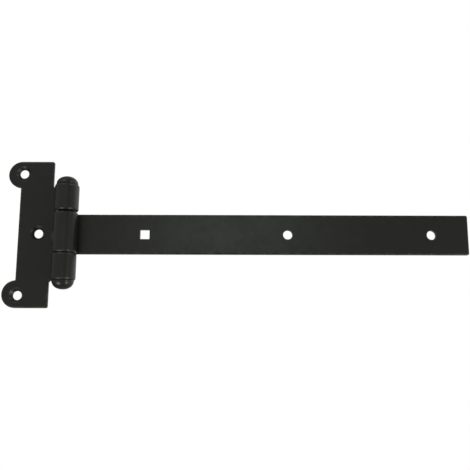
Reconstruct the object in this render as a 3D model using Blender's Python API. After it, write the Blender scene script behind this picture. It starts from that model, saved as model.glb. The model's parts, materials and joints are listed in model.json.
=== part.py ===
"""T hinge: a frame plate and a long strap, both rolled round one riveted pin.

Metres, +Z up along the pin, +X along the strap, +Y into the post and the gate.
The origin is on the flat back of the frame plate, at its middle height. The strap hangs a little lower,
with its knuckle resting on the plate's lower one.
"""

import math

import bmesh
import bpy
from mathutils import Matrix

MM = 0.001

# Sheet and pin
THICKNESS = 3.5 * MM
EDGE_ROUND = 0.4 * MM
PIN_X = 30.0 * MM
SHANK_RADIUS = 5.25 * MM

# Rolled knuckles: the radius inside each roll, the height of the plate's two, and the strap's free
# play between them, which is all above it but for the rest gap
BORE_RADIUS = 5.45 * MM
KNUCKLE_HEIGHT = 19.7 * MM
KNUCKLE_PLAY = 1.6 * MM
REST_GAP = 0.3 * MM
# The roll stops this far clear of its own sheet's front face
SEAM_GAP = 0.7 * MM
ROLL_STEP_DEG = 7.5

# Strap, with its holes measured from the pin
STRAP_WIDTH = 30.0 * MM
STRAP_LENGTH = 300.0 * MM
SQUARE_HOLE = 7.1 * MM
SQUARE_HOLE_X = 58.0 * MM
STRAP_HOLE_RADIUS = 3.5 * MM
STRAP_HOLES_X = (165.0 * MM, 272.5 * MM)

# Frame plate, measured from the pin
PLATE_HEIGHT = 111.0 * MM
PLATE_LEFT = -36.7 * MM
PLATE_RIGHT = -12.2 * MM
NOTCH_EDGE = -10.4 * MM
CORNER_RADIUS = 1.2 * MM
EAR_RADIUS = 10.2 * MM
EAR_CENTRE_X = -36.2 * MM
EAR_CORNER_RADIUS = 0.7 * MM
SCREW_HOLE_RADIUS = 3.35 * MM
COUNTERSINK_RADIUS = 5.6 * MM
EAR_HOLE_X = -35.2 * MM
EAR_HOLE_Z = 46.2 * MM
MIDDLE_HOLE_X = -22.0 * MM

# Pin heads
HEAD_RADIUS = 8.0 * MM
HEAD_BAND = 0.4 * MM
HEAD_DOME = 6.1 * MM
HEAD_GAP = 0.3 * MM

# Worked out from the sizes above
STRAP_HALF = STRAP_WIDTH / 2
STRAP_Z = REST_GAP - KNUCKLE_PLAY / 2
KNUCKLE_LOW = STRAP_HALF + KNUCKLE_PLAY / 2
KNUCKLE_TOP = KNUCKLE_LOW + KNUCKLE_HEIGHT
PLATE_HALF = PLATE_HEIGHT / 2
ROLL_RADIUS = BORE_RADIUS + THICKNESS
ROLL_TURN_DEG = 270 + math.degrees(math.asin((BORE_RADIUS - SEAM_GAP) / ROLL_RADIUS))
PIN_Y = -ROLL_RADIUS


def clear_scene():
    for obj in list(bpy.data.objects):
        bpy.data.objects.remove(obj, do_unlink=True)


def make_material(name, colour, roughness, metallic):
    material = bpy.data.materials.new(name)
    material.use_nodes = True
    shader = material.node_tree.nodes["Principled BSDF"]
    shader.inputs["Base Color"].default_value = (*colour, 1.0)
    shader.inputs["Roughness"].default_value = roughness
    shader.inputs["Metallic"].default_value = metallic
    return material


def make_object(name, bm, material):
    bmesh.ops.recalc_face_normals(bm, faces=bm.faces)
    mesh = bpy.data.meshes.new(name)
    bm.to_mesh(mesh)
    bm.free()
    mesh.shade_smooth()
    mesh.set_sharp_from_angle(angle=math.radians(30))
    obj = bpy.data.objects.new(name, mesh)
    bpy.context.scene.collection.objects.link(obj)
    obj.data.materials.append(material)
    return obj


def arc(x, z, radius, start_deg, end_deg, steps):
    """Points on an arc in the XZ plane, both ends included."""
    points = []
    for i in range(steps + 1):
        angle = math.radians(start_deg + (end_deg - start_deg) * i / steps)
        points.append((x + radius * math.cos(angle), z + radius * math.sin(angle)))
    return points


def upper_plate_outline():
    """From the notch round the knuckle tab, over the top and the ear to the left edge."""
    corner_x = PLATE_RIGHT - CORNER_RADIUS
    corner_z = PLATE_HALF - CORNER_RADIUS
    ear_z = PLATE_HALF - EAR_RADIUS
    inner_x = PLATE_LEFT - EAR_CORNER_RADIUS
    ear_end = math.sqrt((EAR_RADIUS + EAR_CORNER_RADIUS) ** 2 - (inner_x - EAR_CENTRE_X) ** 2)
    inner_z = ear_z - ear_end
    touch_deg = math.degrees(math.atan2(inner_z - ear_z, inner_x - EAR_CENTRE_X)) % 360
    points = [(NOTCH_EDGE, KNUCKLE_LOW), (0.0, KNUCKLE_LOW), (0.0, KNUCKLE_TOP), (PLATE_RIGHT, KNUCKLE_TOP)]
    points += arc(corner_x, corner_z, CORNER_RADIUS, 0, 90, 4)
    points += arc(EAR_CENTRE_X, ear_z, EAR_RADIUS, 90, touch_deg, 24)
    points += arc(inner_x, inner_z, EAR_CORNER_RADIUS, touch_deg - 180, 0, 5)[1:]
    return points


def plate_outline():
    upper = upper_plate_outline()
    lower = [(x, -z) for x, z in reversed(upper)]
    return upper + lower


def strap_outline():
    low = STRAP_Z - STRAP_HALF
    high = STRAP_Z + STRAP_HALF
    return [(0.0, low), (STRAP_LENGTH, low), (STRAP_LENGTH, high), (0.0, high)]


def extrude_sheet(outline):
    """Flat sheet from an outline round the pin: its back at Y = 0, its front at -THICKNESS."""
    bm = bmesh.new()
    back = [bm.verts.new((x + PIN_X, 0.0, z)) for x, z in outline]
    front = [bm.verts.new((x + PIN_X, -THICKNESS, z)) for x, z in outline]
    bm.faces.new(back)
    bm.faces.new(list(reversed(front)))
    for i in range(len(outline)):
        n = (i + 1) % len(outline)
        bm.faces.new((back[n], back[i], front[i], front[n]))
    return bm


def add_roll(bm, low, high, side):
    """Roll the sheet's end face at the pin forward round the bore, starting towards side (+1 is +X)."""
    steps = round(ROLL_TURN_DEG / ROLL_STEP_DEG)
    rings = []
    for i in range(steps + 1):
        angle = math.radians(ROLL_TURN_DEG * i / steps)
        ring = []
        for radius, z in ((ROLL_RADIUS, low), (ROLL_RADIUS, high), (BORE_RADIUS, high), (BORE_RADIUS, low)):
            x = PIN_X + side * radius * math.sin(angle)
            y = PIN_Y + radius * math.cos(angle)
            ring.append(bm.verts.new((x, y, z)))
        rings.append(ring)
    for first, second in zip(rings, rings[1:]):
        for k in range(4):
            n = (k + 1) % 4
            bm.faces.new((first[k], first[n], second[n], second[k]))
    bm.faces.new(rings[-1])


def open_sheet_end(bm, low, high):
    """Take away the flat sheet's end face on the pin line between two heights."""
    ends = [
        face
        for face in bm.faces
        if all(abs(v.co.x - PIN_X) < 0.01 * MM and low - MM < v.co.z < high + MM for v in face.verts)
    ]
    bmesh.ops.delete(bm, geom=ends, context="FACES_ONLY")


def rolled_sheet(outline, spans, side):
    bm = extrude_sheet(outline)
    for low, high in spans:
        open_sheet_end(bm, low, high)
        add_roll(bm, low, high, side)
    bmesh.ops.remove_doubles(bm, verts=bm.verts, dist=0.001 * MM)
    return bm


def add_cutter(name, bm):
    bmesh.ops.recalc_face_normals(bm, faces=bm.faces)
    mesh = bpy.data.meshes.new(name)
    bm.to_mesh(mesh)
    bm.free()
    cutter = bpy.data.objects.new(name, mesh)
    cutter.hide_render = True
    cutter.display_type = "WIRE"
    bpy.context.scene.collection.objects.link(cutter)
    return cutter


def lathe(profile, steps=48):
    """Closed body of revolution about Z from (radius, z) points that start and end on the axis."""
    bm = bmesh.new()
    low = bm.verts.new((0.0, 0.0, profile[0][1]))
    high = bm.verts.new((0.0, 0.0, profile[-1][1]))
    rings = []
    for radius, z in profile[1:-1]:
        ring = []
        for i in range(steps):
            angle = 2 * math.pi * i / steps
            ring.append(bm.verts.new((radius * math.cos(angle), radius * math.sin(angle), z)))
        rings.append(ring)
    for i in range(steps):
        n = (i + 1) % steps
        bm.faces.new((low, rings[0][n], rings[0][i]))
        bm.faces.new((high, rings[-1][i], rings[-1][n]))
        for first, second in zip(rings, rings[1:]):
            bm.faces.new((first[i], first[n], second[n], second[i]))
    return bm


def hole_cutter(name, x, z, profile):
    """Turned cutter whose axis lies along Y; the profile's heights run from front to back."""
    bm = lathe(profile)
    turn = Matrix.Rotation(math.radians(-90), 4, "X")
    place = Matrix.Translation((PIN_X + x, 0.0, z))
    bmesh.ops.transform(bm, matrix=place @ turn, verts=bm.verts)
    return add_cutter(name, bm)


def screw_hole_cutter(name, x, z):
    """Through hole with a ninety degree countersink in the front face."""
    flare = COUNTERSINK_RADIUS - SCREW_HOLE_RADIUS
    front = -THICKNESS
    profile = [
        (0.0, front - MM),
        (COUNTERSINK_RADIUS + MM, front - MM),
        (SCREW_HOLE_RADIUS, front + flare),
        (SCREW_HOLE_RADIUS, MM),
        (0.0, MM),
    ]
    return hole_cutter(name, x, z, profile)


def round_hole_cutter(name, x, z, radius):
    profile = [(0.0, -THICKNESS - MM), (radius, -THICKNESS - MM), (radius, MM), (0.0, MM)]
    return hole_cutter(name, x, z, profile)


def square_hole_cutter(name, x, z, size):
    bm = bmesh.new()
    bmesh.ops.create_cube(bm, size=1.0)
    bmesh.ops.scale(bm, vec=(size, THICKNESS + 2 * MM, size), verts=bm.verts)
    bmesh.ops.translate(bm, vec=(PIN_X + x, -THICKNESS / 2, z), verts=bm.verts)
    return add_cutter(name, bm)


def round_edges(obj):
    bevel = obj.modifiers.new("edge_round", "BEVEL")
    bevel.width = EDGE_ROUND
    bevel.segments = 2
    bevel.limit_method = "ANGLE"
    bevel.angle_limit = math.radians(40)


def cut(obj, cutters):
    for cutter in cutters:
        boolean = obj.modifiers.new(cutter.name, "BOOLEAN")
        boolean.operation = "DIFFERENCE"
        boolean.solver = "EXACT"
        boolean.object = cutter


def move_origin(obj, x, y, z):
    """Put the object's origin at a point without moving its mesh in the world."""
    obj.data.transform(Matrix.Translation((-x, -y, -z)))
    obj.location = (x, y, z)


def build_frame_plate(material):
    spans = ((KNUCKLE_LOW, KNUCKLE_TOP), (-KNUCKLE_TOP, -KNUCKLE_LOW))
    bm = rolled_sheet(plate_outline(), spans, side=1)
    plate = make_object("frame_plate", bm, material)
    round_edges(plate)
    cut(plate, [
        screw_hole_cutter("upper_screw_cutter", EAR_HOLE_X, EAR_HOLE_Z),
        screw_hole_cutter("middle_screw_cutter", MIDDLE_HOLE_X, 0.0),
        screw_hole_cutter("lower_screw_cutter", EAR_HOLE_X, -EAR_HOLE_Z),
    ])
    return plate


def build_strap(material):
    spans = ((STRAP_Z - STRAP_HALF, STRAP_Z + STRAP_HALF),)
    bm = rolled_sheet(strap_outline(), spans, side=-1)
    strap = make_object("strap", bm, material)
    move_origin(strap, PIN_X, PIN_Y, STRAP_Z)
    round_edges(strap)
    cutters = [square_hole_cutter("square_bolt_cutter", SQUARE_HOLE_X, STRAP_Z, SQUARE_HOLE)]
    for number, x in enumerate(STRAP_HOLES_X, start=1):
        cutters.append(round_hole_cutter(f"strap_hole_cutter_{number}", x, STRAP_Z, STRAP_HOLE_RADIUS))
    cut(strap, cutters)
    return strap


def build_pin(material):
    """Shank with a domed head on a narrow band at each end."""
    seat = KNUCKLE_TOP + HEAD_GAP
    rim = seat + HEAD_BAND
    upper = [(SHANK_RADIUS, seat), (HEAD_RADIUS, seat), (HEAD_RADIUS, rim)]
    for step in range(1, 9):
        angle = math.radians(90 * step / 9)
        upper.append((HEAD_RADIUS * math.cos(angle), rim + HEAD_DOME * math.sin(angle)))
    upper.append((0.0, rim + HEAD_DOME))
    lower = [(radius, -z) for radius, z in reversed(upper)]
    pin = make_object("hinge_pin", lathe(lower + upper), material)
    pin.location = (PIN_X, PIN_Y, 0.0)
    return pin


def main():
    clear_scene()
    plate_coat = make_material("plate_black_coat", (0.022, 0.022, 0.020), 0.42, 0.0)
    strap_coat = make_material("strap_black_coat", (0.024, 0.024, 0.022), 0.42, 0.0)
    pin_coat = make_material("pin_black_coat", (0.020, 0.020, 0.019), 0.38, 0.0)
    build_frame_plate(plate_coat)
    build_strap(strap_coat)
    build_pin(pin_coat)


main()
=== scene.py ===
"""Looks of the T hinge: rolled steel with a satin black coat, under soft studio light."""

import json
import math

import bmesh
import bpy
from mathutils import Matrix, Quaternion, Vector, geometry, noise


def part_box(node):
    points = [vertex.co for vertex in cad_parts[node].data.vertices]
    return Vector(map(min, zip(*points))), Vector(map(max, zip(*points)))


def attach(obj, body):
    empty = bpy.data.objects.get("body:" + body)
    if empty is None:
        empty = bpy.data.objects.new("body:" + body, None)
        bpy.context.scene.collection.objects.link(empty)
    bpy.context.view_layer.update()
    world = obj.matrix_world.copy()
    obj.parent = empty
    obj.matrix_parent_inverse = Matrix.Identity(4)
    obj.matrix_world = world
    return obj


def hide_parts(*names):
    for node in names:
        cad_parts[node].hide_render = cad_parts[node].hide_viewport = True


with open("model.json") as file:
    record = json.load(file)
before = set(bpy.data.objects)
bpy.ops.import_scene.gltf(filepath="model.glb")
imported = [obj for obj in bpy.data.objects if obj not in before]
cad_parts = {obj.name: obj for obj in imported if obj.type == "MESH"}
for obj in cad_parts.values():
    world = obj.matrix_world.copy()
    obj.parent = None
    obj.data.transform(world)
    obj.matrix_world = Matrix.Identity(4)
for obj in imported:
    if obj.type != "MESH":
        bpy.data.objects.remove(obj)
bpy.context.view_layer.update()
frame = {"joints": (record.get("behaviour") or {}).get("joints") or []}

MM = 0.001

# Sheet, outlines and holes, as the CAD model has them. X is measured from the pin's axis.
THICKNESS = 3.5 * MM
ROLL_TURN = math.radians(302.1)
SQUARE_HOLE = 7.1 * MM
SQUARE_HOLE_CORNER = 0.5 * MM
ROUND_HOLE_RADIUS = 3.5 * MM
SCREW_HOLE_RADIUS = 3.35 * MM
COUNTERSINK_RADIUS = 5.6 * MM
SQUARE_HOLE_X = 58.0 * MM
STRAP_HOLES_X = (165.0 * MM, 272.5 * MM)
MIDDLE_HOLE_X = -22.0 * MM
EAR_HOLE_X = -35.2 * MM
EAR_HOLE_Z = 46.2 * MM
PLATE_LEFT = -36.7 * MM
PLATE_RIGHT = -12.2 * MM
NOTCH_EDGE = -10.4 * MM
EAR_RADIUS = 10.2 * MM
EAR_CENTRE_X = PLATE_LEFT + 0.5 * MM
EAR_FILLET = 0.6 * MM
CORNER = 1.3 * MM
KNUCKLE_LOW = 15.8 * MM
KNUCKLE_TOP = 35.5 * MM

# Places that the frame gives
STRAP_LOW, STRAP_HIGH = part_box("strap")
PLATE_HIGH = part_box("frame_plate")[1]
PIN_LOW, PIN_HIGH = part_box("hinge_pin")
PIN_X, PIN_Y, _ = frame["joints"][0]["pos_m"]
STRAP_Z = (STRAP_LOW.z + STRAP_HIGH.z) / 2
ROLL_RADIUS = -PIN_Y
BORE_RADIUS = ROLL_RADIUS - THICKNESS
NEUTRAL_RADIUS = BORE_RADIUS + THICKNESS / 2
ROLL_LENGTH = ROLL_TURN * NEUTRAL_RADIUS

# Pin: the shank's play in the bore, where its heads sit, and the soft lower edge of each head
SHANK_RADIUS = BORE_RADIUS - 0.2 * MM
HEAD_RADIUS = (PIN_HIGH.x - PIN_LOW.x) / 2
HEAD_LIFT = 0.05 * MM
HEAD_SEAT = KNUCKLE_TOP + HEAD_LIFT
HEAD_ROUND = 0.3 * MM
DOME_START = HEAD_SEAT + HEAD_ROUND
DOME_POWER = 0.93
PEEN_DEPTH = 0.09 * MM
PEEN_SIZE = 2.6 * MM
PEEN_FADE = 1.5 * MM
PEEN_BIAS = 0.6

# Rounding of an edge: how far it reaches in from the outline, and how deep it goes
FRONT_ROUND = (1.4 * MM, 0.5 * MM)
BACK_ROUND = (1.6 * MM, 1.0 * MM)
HOLE_ROUND = (0.25 * MM, 0.25 * MM)
SINK_ROUND = 0.12 * MM

# Depths below a face between which its rounding is rubbed
RUBBED_NEAR = 0.01 * MM
RUBBED_FAR = 0.45 * MM

# Mesh: the narrow ring that ends a rounding, the least corner, how close two points are one, and how far
# inner points keep from a rim, as a share of the step
SUPPORT = 0.12 * MM
TIGHT_RADIUS = 0.06 * MM
SAME_PLACE = 0.001 * MM
RIM_CLEARANCE = 0.6

# Mesh steps: lengths on the flat and on the roll, and counts round a curve
FLAT_STEP = 2.4 * MM
ROLL_STEP = 0.6 * MM
CORNER_STEPS = 5
EDGE_STEPS = 5
EAR_STEPS = 48
HOLE_STEPS = 64
DOME_STEPS = 30
LATHE_STEPS = 96

# Coat: base colours, roughness, and what cloud, grain and rubbing change in it
COAT_TINT = (0.0115, 0.0118, 0.0105)
COAT_DARK = tuple(0.8 * c for c in COAT_TINT)
COAT_LIGHT = tuple(1.25 * c for c in COAT_TINT)
RUBBED_TINT = (0.045, 0.044, 0.041)
SHEET_ROUGHNESS = 0.34
PIN_ROUGHNESS = 0.32
CLOUD_ROUGHNESS = 0.025
GRAIN_ROUGHNESS = 0.03
RUBBED_POLISH = 0.05
TONE_RANGE = (0.35, 0.65)
MOTTLE_RUBBED = (0.42, 0.66)

# Coat: how far across each kind of mark is, and how high
CLOUD_SIZE = 45 * MM
MOTTLE_SIZE = 5 * MM
SWAY_SIZE = 30 * MM
SWAY_HEIGHT = 0.05 * MM
PEEL_SIZE = 1.6 * MM
PEEL_HEIGHT = 0.012 * MM
GRAIN_SIZE = 0.28 * MM
GRAIN_HEIGHT = 0.002 * MM
NIB_CELL = 5.0 * MM
NIB_REACH = 0.035
NIB_RARITY = 0.84
NIB_HEIGHT = 0.05 * MM

# Camera: it aims at a point on the strap, from a little below
LENS = 47.5
SENSOR = 36.0
AIM_X = 125.5 * MM
AIM_Z = -0.2 * MM
CAMERA_DISTANCE = 467.1 * MM
CAMERA_TILT = math.radians(9.81)
CAMERA_TURN = 0.00115
CAMERA_ROLL = 0.0026

# Room: its light's strength in front and behind, each at the left and the right, and below and above
ROOM_FRONT = (0.405, 0.235)
ROOM_BACK = (0.4, 0.95)
ROOM_HEIGHT = (0.65, 1.25)
BAND_FADE = 0.5

# Where the room's light changes, as a direction's X, Y or Z
FRONT_SPAN = (-0.4, 0.4)
BACK_SPAN = (-0.8, 0.8)
BEHIND_SPAN = (-0.3, 0.2)
HEIGHT_SPAN = (-0.5, 0.7)
BAND_SPAN = (0.2, 0.8)

# Lamps
LAMP_DISTANCE = 0.75
LAMP_AIM = 60 * MM
LAMP_TINT = (0.99, 1.0, 0.91)
GRID_AIM = 120 * MM
GRID_SPREAD = 25.0
GRID_TINT = (0.85, 1.0, 0.94)
WHITE = (1.0, 1.0, 1.0)

# Floor
FLOOR_RADIUS = 3.0
FLOOR_DROP = 0.8
FLOOR_TONE = 0.85
FLOOR_GLOW = 0.5


# ---------------------------------------------------------------- outlines

def unit(degrees):
    """Direction at an angle from +X towards +Z."""
    a = math.radians(degrees)
    return math.cos(a), math.sin(a)


def arc(cx, cz, radius, start, end, steps=CORNER_STEPS, convex=True):
    """(x, z, nx, nz, corner) points on an arc, with normals that point out of the metal. A convex arc's
    corner is its centre, its radius and the sum of its end normals. A concave arc has none."""
    side = 1 if convex else -1
    (c0, s0), (c1, s1) = unit(start), unit(end)
    corner = (cx, cz, radius, c0 + c1, s0 + s1) if convex else None
    points = []
    for i in range(steps + 1):
        c, s = unit(start + (end - start) * i / steps)
        points.append((cx + radius * c, cz + radius * s, side * c, side * s, corner))
    return points


def mirrored(points):
    """The same points below z = 0, in the opposite order."""
    below = []
    for x, z, nx, nz, corner in reversed(points):
        if corner:
            cx, cz, radius, bx, bz = corner
            corner = (cx, -cz, radius, bx, -bz)
        below.append((x, -z, nx, -nz, corner))
    return below


def draw_in(point, inset):
    """Where an outline's point lies once the outline is drawn in. A square corner that would close up keeps
    a small radius, and moves in as a whole."""
    x, z, nx, nz, corner = point
    if not corner:
        return x - nx * inset, z - nz * inset
    cx, cz, radius, bx, bz = corner
    left = max(radius - inset, TIGHT_RADIUS)
    shift = inset + left - radius
    return cx - bx * shift + nx * left, cz - bz * shift + nz * left


def join(arcs, rolled):
    """Closed loop through arcs, with straight runs between them cut into short steps. A point that two arcs
    share is kept once."""
    loop = []
    for current, following in zip(arcs, arcs[1:] + arcs[:1]):
        loop += current
        x0, z0, nx, nz, _ = current[-1]
        x1, z1 = following[0][:2]
        length = math.hypot(x1 - x0, z1 - z0)
        if length < SAME_PLACE:
            loop.pop()
            continue
        done = 0.0
        while True:
            step = ROLL_STEP if rolled(x0 + (x1 - x0) * done / length) else FLAT_STEP
            done += step
            if done > length - max(step / 2, ROLL_STEP):
                break
            t = done / length
            loop.append((x0 + (x1 - x0) * t, z0 + (z1 - z0) * t, nx, nz, None))
    return loop


def circle(cx, cz, radius):
    """Hole loop: its normals point out of the metal, to the hole's own centre."""
    return arc(cx, cz, radius, 0, 360, HOLE_STEPS, convex=False)[:-1]


def square(cx, cz, half, corner):
    """Square hole loop with rounded corners."""
    inner = half - corner
    arcs = []
    for k, (sx, sz) in enumerate(((1, 1), (-1, 1), (-1, -1), (1, -1))):
        start = 90 * k
        arcs.append(arc(cx + sx * inner, cz + sz * inner, corner, start, start + 90, 4, convex=False))
    return join(arcs, lambda x: False)


def inside(x, z, loop):
    """Is the point inside the loop?"""
    hit = False
    for (x0, z0, *_), (x1, z1, *_) in zip(loop, loop[1:] + loop[:1]):
        if (z0 > z) != (z1 > z) and x < x0 + (z - z0) * (x1 - x0) / (z1 - z0):
            hit = not hit
    return hit


def in_metal(x, z, loops):
    """Is the point inside the first loop, the outline, and in none of the holes?"""
    return inside(x, z, loops[0]) and not any(inside(x, z, hole) for hole in loops[1:])


# ---------------------------------------------------------------- wall profiles

def back_round(reach, depth):
    """(inset, depth) points of the rounding at the back face, from the wall to the face."""
    points = []
    for i in range(EDGE_STEPS + 1):
        a = math.radians(90 * i / EDGE_STEPS)
        points.append((reach * (1 - math.cos(a)), depth * (1 - math.sin(a))))
    points.append((reach + SUPPORT, 0.0))
    return points


def edge_profile(front, back):
    """(inset, depth) from the front face's rim to the back face's rim, both rounded."""
    reach, depth = front
    points = [(reach + SUPPORT, THICKNESS)]
    for i in range(EDGE_STEPS + 1):
        a = math.radians(90 * i / EDGE_STEPS)
        points.append((reach * (1 - math.sin(a)), THICKNESS - depth * (1 - math.cos(a))))
    return points + back_round(*back)


def countersink_profile():
    """Ninety degree countersink in the front face above a straight hole."""
    flare = COUNTERSINK_RADIUS - SCREW_HOLE_RADIUS
    soft = SINK_ROUND
    points = [
        (flare + soft + SUPPORT, THICKNESS),
        (flare + soft, THICKNESS),
        (flare, THICKNESS - 0.3 * soft),
        (flare - soft, THICKNESS - soft),
        (soft, THICKNESS - flare + soft),
        (0.2 * soft, THICKNESS - flare),
        (0.0, THICKNESS - flare - soft),
    ]
    return points + back_round(*HOLE_ROUND)


def on_round(depth):
    """Is this depth on the rounding at the front or the back, and not on a face or the wall between?"""
    front = THICKNESS - depth
    return RUBBED_NEAR < front < RUBBED_FAR or RUBBED_NEAR < depth < RUBBED_FAR


# ---------------------------------------------------------------- sheets

def net_points(rim_points, loops, rolled):
    """Even net of points in the metal, clear of the rims."""
    xs = [p.x for p in rim_points]
    zs = [p.y for p in rim_points]
    points = []
    x = min(xs)
    while x < max(xs):
        step = ROLL_STEP if rolled(x) else FLAT_STEP
        x += step
        z = min(zs)
        while z < max(zs):
            z += FLAT_STEP
            nearest = min((px - x) ** 2 + (pz - z) ** 2 for px, pz in zip(xs, zs))
            if nearest >= (RIM_CLEARANCE * step) ** 2 and in_metal(x, z, loops):
                points.append(Vector((x, z)))
    return points


def fill_cap(bm, rims, depth, rolled, place):
    """Triangulate the flat face between the outer rim and the hole rims."""
    points, edges, known = [], [], []
    for rim in rims:
        start = len(points)
        for i, (x, z, vert) in enumerate(rim):
            points.append(Vector((x, z)))
            known.append(vert)
            edges.append((start + i, start + (i + 1) % len(rim)))
    loops = [[(x, z) for x, z, _ in rim] for rim in rims]
    points += net_points(points, loops, rolled)
    coords, _, faces, origin, _, _ = geometry.delaunay_2d_cdt(points, edges, [], 1, 1e-9)
    verts = []
    for co, source in zip(coords, origin):
        index = source[0] if source else -1
        if 0 <= index < len(known):
            verts.append(known[index])
        else:
            verts.append(bm.verts.new(place(co.x, co.y, depth)))
    for face in faces:
        cx = sum(coords[i].x for i in face) / len(face)
        cz = sum(coords[i].y for i in face) / len(face)
        if in_metal(cx, cz, loops):
            bm.faces.new([verts[i] for i in face])


def add_wall(bm, rim, loop, profile, place):
    """Wall of faces down a profile, all round a loop. Returns its front and back rims, as (x, z, vert)."""
    rings = []
    for inset, depth in profile:
        ring = []
        for point in loop:
            x, z = draw_in(point, inset)
            vert = bm.verts.new(place(x, z, depth))
            vert[rim] = 1.0 if on_round(depth) else 0.0
            ring.append((x, z, vert))
        rings.append(ring)
    for a, b in zip(rings, rings[1:]):
        for i in range(len(loop)):
            n = (i + 1) % len(loop)
            bm.faces.new((a[i][2], a[n][2], b[n][2], b[i][2]))
    return rings[0], rings[-1]


def add_object(name, bm):
    """Smooth-shaded object from a finished bmesh."""
    mesh = bpy.data.meshes.new(name)
    bm.to_mesh(mesh)
    bm.free()
    mesh.shade_smooth()
    obj = bpy.data.objects.new(name, mesh)
    bpy.context.scene.collection.objects.link(obj)
    return obj


def build_sheet(name, loops, rolled, place):
    """Solid sheet from (loop, profile) pairs, the outer one first; place() bends the flat blank. The point
    attribute rim is 1 where an edge is rounded, and 0 elsewhere."""
    bm = bmesh.new()
    rim = bm.verts.layers.float.new("rim")
    front, back = [], []
    for loop, profile in loops:
        front_rim, back_rim = add_wall(bm, rim, loop, profile, place)
        front.append(front_rim)
        back.append(back_rim)
    fill_cap(bm, front, THICKNESS, rolled, place)
    fill_cap(bm, back, 0.0, rolled, place)
    bmesh.ops.recalc_face_normals(bm, faces=bm.faces)
    return add_object(name, bm)


def roller(side):
    """Maps the flat blank to the rolled sheet. Beyond the pin line, on the side it starts towards, the
    blank wraps forward round the bore; its back face becomes the outside of the knuckle."""
    def place(x, z, depth):
        run = x * side
        if run <= 0:
            return (PIN_X + x, -depth, z)
        turn = run / NEUTRAL_RADIUS
        radius = ROLL_RADIUS - depth
        return (PIN_X + side * radius * math.sin(turn), PIN_Y + radius * math.cos(turn), z)

    return place


# ---------------------------------------------------------------- the three pieces

def plate_loop():
    """Outline of the plate's flat blank, with its two ears and the two tabs that are rolled."""
    half = PLATE_HIGH.z
    notch_round = 1.2 * CORNER
    ear_z = half - EAR_RADIUS
    fillet_x = PLATE_LEFT - EAR_FILLET
    fillet_z = ear_z - math.sqrt((EAR_RADIUS + EAR_FILLET) ** 2 - (fillet_x - EAR_CENTRE_X) ** 2)
    touch = math.degrees(math.atan2(fillet_z - ear_z, fillet_x - EAR_CENTRE_X)) % 360
    tab_x = ROLL_LENGTH - CORNER
    notch_x = PLATE_RIGHT + notch_round
    upper = [
        arc(NOTCH_EDGE + CORNER, KNUCKLE_LOW - CORNER, CORNER, 180, 90, convex=False),
        arc(tab_x, KNUCKLE_LOW + CORNER, CORNER, 270, 360),
        arc(tab_x, KNUCKLE_TOP - CORNER, CORNER, 0, 90),
        arc(notch_x, KNUCKLE_TOP + notch_round, notch_round, 270, 180, convex=False),
        arc(PLATE_RIGHT - CORNER, half - CORNER, CORNER, 0, 90, 6),
        arc(EAR_CENTRE_X, ear_z, EAR_RADIUS, 90, touch, EAR_STEPS),
        arc(fillet_x, fillet_z, EAR_FILLET, touch - 180, 0, 8, convex=False),
    ]
    lower = [mirrored(points) for points in reversed(upper)]
    return join(upper + lower, lambda x: x > 0)


def make_plate():
    """The upright leaf, with its two rolled knuckles and three countersunk screw holes."""
    sink = countersink_profile()
    loops = [(plate_loop(), edge_profile(FRONT_ROUND, BACK_ROUND))]
    for x, z in ((EAR_HOLE_X, EAR_HOLE_Z), (MIDDLE_HOLE_X, 0.0), (EAR_HOLE_X, -EAR_HOLE_Z)):
        loops.append((circle(x, z, SCREW_HOLE_RADIUS), sink))
    return build_sheet("plate_rolled_sheet", loops, lambda x: x > 0, roller(1))


def strap_loop():
    """Outline of the strap's flat blank."""
    low = STRAP_LOW.z + CORNER
    high = STRAP_HIGH.z - CORNER
    end = STRAP_HIGH.x - PIN_X - CORNER
    start = CORNER - ROLL_LENGTH
    arcs = [
        arc(start, low, CORNER, 180, 270),
        arc(end, low, CORNER, 270, 360),
        arc(end, high, CORNER, 0, 90),
        arc(start, high, CORNER, 90, 180),
    ]
    return join(arcs, lambda x: x < 0)


def make_strap():
    """The long leaf, with its rolled knuckle, one square hole and two round ones."""
    punched = edge_profile(HOLE_ROUND, HOLE_ROUND)
    loops = [(strap_loop(), edge_profile(FRONT_ROUND, BACK_ROUND))]
    loops.append((square(SQUARE_HOLE_X, STRAP_Z, SQUARE_HOLE / 2, SQUARE_HOLE_CORNER), punched))
    for x in STRAP_HOLES_X:
        loops.append((circle(x, STRAP_Z, ROUND_HOLE_RADIUS), punched))
    return build_sheet("strap_rolled_sheet", loops, lambda x: x < 0, roller(-1))


def pin_profile():
    """(radius, z) points from the lower head's crown to the upper one's."""
    dome = PIN_HIGH.z - DOME_START
    upper = [(SHANK_RADIUS, 0.0), (SHANK_RADIUS, KNUCKLE_TOP), (SHANK_RADIUS, HEAD_SEAT)]
    upper += [(SHANK_RADIUS + HEAD_LIFT, HEAD_SEAT), (HEAD_RADIUS - HEAD_ROUND, HEAD_SEAT)]
    for i in range(1, 5):
        a = math.radians(90 * i / 4)
        radius = HEAD_RADIUS - HEAD_ROUND * (1 - math.sin(a))
        upper.append((radius, HEAD_SEAT + HEAD_ROUND * (1 - math.cos(a))))
    for i in range(1, DOME_STEPS):
        a = math.radians(90 * i / DOME_STEPS)
        radius = HEAD_RADIUS * math.cos(a) ** DOME_POWER
        upper.append((radius, DOME_START + dome * math.sin(a) ** DOME_POWER))
    upper.append((0.0, PIN_HIGH.z))
    return [(r, -z) for r, z in reversed(upper)] + upper[1:]


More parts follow.
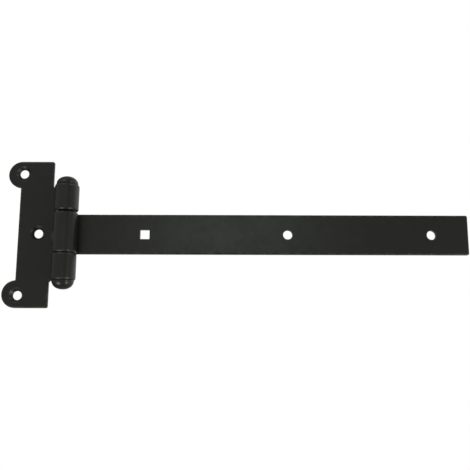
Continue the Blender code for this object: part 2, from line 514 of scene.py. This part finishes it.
def lathe(profile):
    """Turn a (radius, z) profile, closed at both ends on the axis, round the pin's axis."""
    bm = bmesh.new()
    rings = []
    for r, z in profile:
        if r == 0.0:
            rings.append([bm.verts.new((PIN_X, PIN_Y, z))])
            continue
        ring = []
        for i in range(LATHE_STEPS):
            a = 2 * math.pi * i / LATHE_STEPS
            ring.append(bm.verts.new((PIN_X + r * math.cos(a), PIN_Y + r * math.sin(a), z)))
        rings.append(ring)
    for a, b in zip(rings, rings[1:]):
        for i in range(LATHE_STEPS):
            n = (i + 1) % LATHE_STEPS
            corners = [a[i % len(a)], a[n % len(a)], b[n % len(b)], b[i % len(b)]]
            bm.faces.new(list(dict.fromkeys(corners)))
    bmesh.ops.recalc_face_normals(bm, faces=bm.faces)
    return bm


def peen(bm):
    """Shallow hammer marks on the two domes, mostly pressed inward, which fade to nothing at the rims."""
    for vert in bm.verts:
        above = abs(vert.co.z) - DOME_START
        if above <= 0.0:
            continue
        fade = min(1.0, above / PEEN_FADE)
        mark = noise.noise(vert.co * (1.0 / PEEN_SIZE)) - PEEN_BIAS
        out = Vector((vert.co.x - PIN_X, vert.co.y - PIN_Y, vert.co.z * 0.2)).normalized()
        vert.co += out * (mark * fade * PEEN_DEPTH)


def make_pin():
    """Turned shank with two riveted heads, each a full dome that starts at the knuckle's end."""
    bm = lathe(pin_profile())
    peen(bm)
    return add_object("pin_turned", bm)


# ---------------------------------------------------------------- shader nodes

def add_noise(tree, place, seed, size, detail, roughness=0.5):
    """Cloud noise, from 0 to 1, whose blots are about size across."""
    node = tree.nodes.new("ShaderNodeTexNoise")
    node.noise_dimensions = "4D"
    node.inputs["W"].default_value = seed
    node.inputs["Scale"].default_value = 1.0 / size
    node.inputs["Detail"].default_value = detail
    node.inputs["Roughness"].default_value = roughness
    tree.links.new(place, node.inputs["Vector"])
    return node.outputs["Fac"]


def add_range(tree, value, low, high, to_low=0.0, to_high=1.0, smooth=True):
    """Map low..high to to_low..to_high, and hold the ends."""
    node = tree.nodes.new("ShaderNodeMapRange")
    node.interpolation_type = "SMOOTHSTEP" if smooth else "LINEAR"
    node.inputs["From Min"].default_value = low
    node.inputs["From Max"].default_value = high
    node.inputs["To Min"].default_value = to_low
    node.inputs["To Max"].default_value = to_high
    tree.links.new(value, node.inputs["Value"])
    return node.outputs["Result"]


def add_math(tree, operation, a, b):
    """One sum; a and b may each be a number or a node's output."""
    node = tree.nodes.new("ShaderNodeMath")
    node.operation = operation
    for socket, value in zip(node.inputs, (a, b)):
        if isinstance(value, float):
            socket.default_value = value
        else:
            tree.links.new(value, socket)
    return node.outputs["Value"]


def add_tint(tree, factor, low, high):
    """Blend two colours; either may be a fixed colour or another blend."""
    node = tree.nodes.new("ShaderNodeMix")
    node.data_type = "RGBA"
    tree.links.new(factor, node.inputs["Factor"])
    for socket, value in ((node.inputs["A"], low), (node.inputs["B"], high)):
        if isinstance(value, tuple):
            socket.default_value = (*value, 1)
        else:
            tree.links.new(value, socket)
    return node.outputs["Result"]


def add_bump(tree, height, depth, normal=None):
    """Raise the surface by depth metres where height is 1."""
    node = tree.nodes.new("ShaderNodeBump")
    node.inputs["Distance"].default_value = depth
    tree.links.new(height, node.inputs["Height"])
    if normal:
        tree.links.new(normal, node.inputs["Normal"])
    return node.outputs["Normal"]


# ---------------------------------------------------------------- coat

def add_nibs(tree, place, seed):
    """Specks of dust caught in the coat: a small dome in one cell of about six."""
    cells = tree.nodes.new("ShaderNodeTexVoronoi")
    cells.voronoi_dimensions = "4D"
    cells.inputs["W"].default_value = seed
    cells.inputs["Scale"].default_value = 1.0 / NIB_CELL
    tree.links.new(place, cells.inputs["Vector"])
    split = tree.nodes.new("ShaderNodeSeparateColor")
    tree.links.new(cells.outputs["Color"], split.inputs["Color"])
    chosen = add_math(tree, "GREATER_THAN", split.outputs["Red"], NIB_RARITY)
    dome = add_range(tree, cells.outputs["Distance"], 0.0, NIB_REACH, 1.0, 0.0)
    return add_math(tree, "MULTIPLY", chosen, dome)


def add_rubbed(tree, mottle):
    """1 in patches along the rounded edges, where the coat is thin and rubbed, and 0 elsewhere."""
    rim = tree.nodes.new("ShaderNodeAttribute")
    rim.attribute_name = "rim"
    return add_math(tree, "MULTIPLY", rim.outputs["Fac"], add_range(tree, mottle, *MOTTLE_RUBBED))


def add_relief(tree, place, seed, grain):
    """Normal of the coat: the sheet's slight sway, orange peel, fine grain and nibs."""
    sway = add_noise(tree, place, seed + 40, SWAY_SIZE, 1.0)
    peel = add_noise(tree, place, seed + 20, PEEL_SIZE, 1.0)
    nibs = add_nibs(tree, place, seed)
    normal = add_bump(tree, sway, SWAY_HEIGHT)
    normal = add_bump(tree, peel, PEEL_HEIGHT, normal)
    normal = add_bump(tree, grain, GRAIN_HEIGHT, normal)
    return add_bump(tree, nibs, NIB_HEIGHT, normal)


def make_coat(name, roughness, seed):
    """Satin black coat over steel: cloudy tone, orange peel, fine grain, a few nibs, and edges where the
    coat has drawn thin and been rubbed bright in places."""
    material = bpy.data.materials.new(name)
    material.use_nodes = True
    tree = material.node_tree
    shader = tree.nodes["Principled BSDF"]
    place = tree.nodes.new("ShaderNodeTexCoord").outputs["Object"]
    cloud = add_noise(tree, place, seed, CLOUD_SIZE, 3.0)
    mottle = add_noise(tree, place, seed + 10, MOTTLE_SIZE, 5.0, 0.6)
    grain = add_noise(tree, place, seed + 30, GRAIN_SIZE, 2.0)
    rubbed = add_rubbed(tree, mottle)

    tone = add_math(tree, "MULTIPLY", cloud, 0.5)
    tone = add_math(tree, "ADD", tone, add_math(tree, "MULTIPLY", mottle, 0.5))
    coat = add_tint(tree, add_range(tree, tone, *TONE_RANGE), COAT_DARK, COAT_LIGHT)
    tree.links.new(add_tint(tree, rubbed, coat, RUBBED_TINT), shader.inputs["Base Color"])

    dull, shiny = roughness + CLOUD_ROUGHNESS, roughness - CLOUD_ROUGHNESS
    rough = add_range(tree, tone, *TONE_RANGE, dull, shiny)
    rough = add_math(tree, "ADD", rough, add_math(tree, "MULTIPLY", grain, GRAIN_ROUGHNESS))
    rough = add_math(tree, "SUBTRACT", rough, add_math(tree, "MULTIPLY", rubbed, RUBBED_POLISH))
    tree.links.new(rough, shader.inputs["Roughness"])
    tree.links.new(add_relief(tree, place, seed, grain), shader.inputs["Normal"])
    return material


# ---------------------------------------------------------------- stage

def make_camera():
    """Camera in front of the hinge and a little below it."""
    data = bpy.data.cameras.new("camera")
    data.lens = LENS
    data.sensor_width = SENSOR
    camera = bpy.data.objects.new("camera", data)
    bpy.context.scene.collection.objects.link(camera)
    forward = Vector((CAMERA_TURN, math.cos(CAMERA_TILT), math.sin(CAMERA_TILT))).normalized()
    camera.location = Vector((PIN_X + AIM_X, 0.0, AIM_Z)) - forward * CAMERA_DISTANCE
    camera.rotation_mode = "QUATERNION"
    camera.rotation_quaternion = forward.to_track_quat("-Z", "Y") @ Quaternion((0, 0, 1), CAMERA_ROLL)
    bpy.context.scene.camera = camera


def room_light(tree, direction):
    """Strength and colour of the room's light from a direction: dim before the hinge, and behind it a white
    band that is brightest to the right. The whole room is darker below."""
    split = tree.nodes.new("ShaderNodeSeparateXYZ")
    tree.links.new(direction, split.inputs["Vector"])
    x, y, z = (split.outputs[axis] for axis in "XYZ")
    behind = add_range(tree, y, *BEHIND_SPAN)
    front = add_range(tree, x, *FRONT_SPAN, *ROOM_FRONT, smooth=False)
    front = add_math(tree, "MULTIPLY", front, add_math(tree, "SUBTRACT", 1.0, behind))
    band = add_range(tree, x, *BACK_SPAN, *ROOM_BACK)
    off_level = add_math(tree, "ABSOLUTE", z, 0.0)
    band = add_math(tree, "MULTIPLY", band, add_range(tree, off_level, *BAND_SPAN, 1.0, BAND_FADE))
    back = add_math(tree, "MULTIPLY", behind, band)
    height = add_range(tree, z, *HEIGHT_SPAN, *ROOM_HEIGHT, smooth=False)
    strength = add_math(tree, "MULTIPLY", add_math(tree, "ADD", back, front), height)
    return strength, add_tint(tree, behind, LAMP_TINT, WHITE)


def make_world():
    """A room for light, and plain white to the camera."""
    world = bpy.data.worlds.new("studio")
    bpy.context.scene.world = world
    world.use_nodes = True
    tree = world.node_tree
    tree.nodes.clear()
    direction = tree.nodes.new("ShaderNodeTexCoord").outputs["Generated"]
    strength, colour = room_light(tree, direction)
    room = tree.nodes.new("ShaderNodeBackground")
    tree.links.new(strength, room.inputs["Strength"])
    tree.links.new(colour, room.inputs["Color"])
    seen = tree.nodes.new("ShaderNodeBackground")
    seen.inputs["Color"].default_value = (*WHITE, 1)
    path = tree.nodes.new("ShaderNodeLightPath")
    choose = tree.nodes.new("ShaderNodeMixShader")
    tree.links.new(path.outputs["Is Camera Ray"], choose.inputs["Fac"])
    tree.links.new(room.outputs["Background"], choose.inputs[1])
    tree.links.new(seen.outputs["Background"], choose.inputs[2])
    out = tree.nodes.new("ShaderNodeOutputWorld")
    tree.links.new(choose.outputs["Shader"], out.inputs["Surface"])


def add_light(name, azimuth, elevation, size, power, distance=LAMP_DISTANCE, aim=LAMP_AIM):
    """Soft lamp aimed at a point on the strap's line, aim past the pin; angles in degrees, power in watts.
    Azimuth 0 is in front and turns to +X."""
    data = bpy.data.lights.new(name, "AREA")
    data.shape = "RECTANGLE"
    data.size, data.size_y = size
    data.energy = power
    data.color = LAMP_TINT
    light = bpy.data.objects.new(name, data)
    a, e = math.radians(azimuth), math.radians(elevation)
    away = Vector((math.sin(a) * math.cos(e), -math.cos(a) * math.cos(e), math.sin(e)))
    light.location = Vector((PIN_X + aim, 0.0, 0.0)) + away * distance
    light.rotation_mode = "QUATERNION"
    light.rotation_quaternion = (-away).to_track_quat("-Z", "Y")
    bpy.context.scene.collection.objects.link(light)
    return data


def make_lights():
    """Two lamps below, two above, one to the right, and a gridded one square on to the strap."""
    add_light("low_left", -42, -42, (0.2, 0.25), 1.3)
    add_light("low_right", 59, -42, (0.2, 0.25), 1.35)
    add_light("high_left", -35, 48, (0.2, 0.2), 0.25)
    add_light("high_right", 59, 38, (0.2, 0.2), 0.3)
    add_light("right", 52, -14, (0.3, 0.3), 0.85, distance=0.9)
    gridded = add_light("gridded", 0, 10, (0.2, 0.2), 0.0046, distance=0.6, aim=GRID_AIM)
    gridded.spread = math.radians(GRID_SPREAD)
    gridded.color = GRID_TINT


def make_floor():
    """Pale floor well below the hinge. It shows, but throws no light of its own on the hinge."""
    bm = bmesh.new()
    bmesh.ops.create_circle(bm, cap_ends=True, segments=96, radius=FLOOR_RADIUS)
    bmesh.ops.translate(bm, vec=(0, 0, -FLOOR_DROP), verts=bm.verts)
    floor = add_object("floor", bm)
    material = bpy.data.materials.new("pale_floor")
    material.use_nodes = True
    shader = material.node_tree.nodes["Principled BSDF"]
    shader.inputs["Base Color"].default_value = (FLOOR_TONE, FLOOR_TONE, FLOOR_TONE, 1)
    shader.inputs["Roughness"].default_value = 0.9
    shader.inputs["Emission Color"].default_value = (*WHITE, 1)
    shader.inputs["Emission Strength"].default_value = FLOOR_GLOW
    floor.data.materials.append(material)
    floor.visible_diffuse = False
    floor.visible_glossy = False


def main():
    bpy.context.scene.view_settings.view_transform = "Standard"
    pieces = (
        (make_plate(), "plate", "frame_plate", "plate_coat", SHEET_ROUGHNESS, 1.0),
        (make_strap(), "strap", "strap", "strap_coat", SHEET_ROUGHNESS, 2.0),
        (make_pin(), "plate", "hinge_pin", "pin_coat", PIN_ROUGHNESS, 3.0),
    )
    for piece, body, node, slot, roughness, seed in pieces:
        piece.data.materials.append(make_coat(f"{slot}_black", roughness, seed))
        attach(piece, body)
        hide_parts(node)
    make_camera()
    make_world()
    make_lights()
    make_floor()


main()
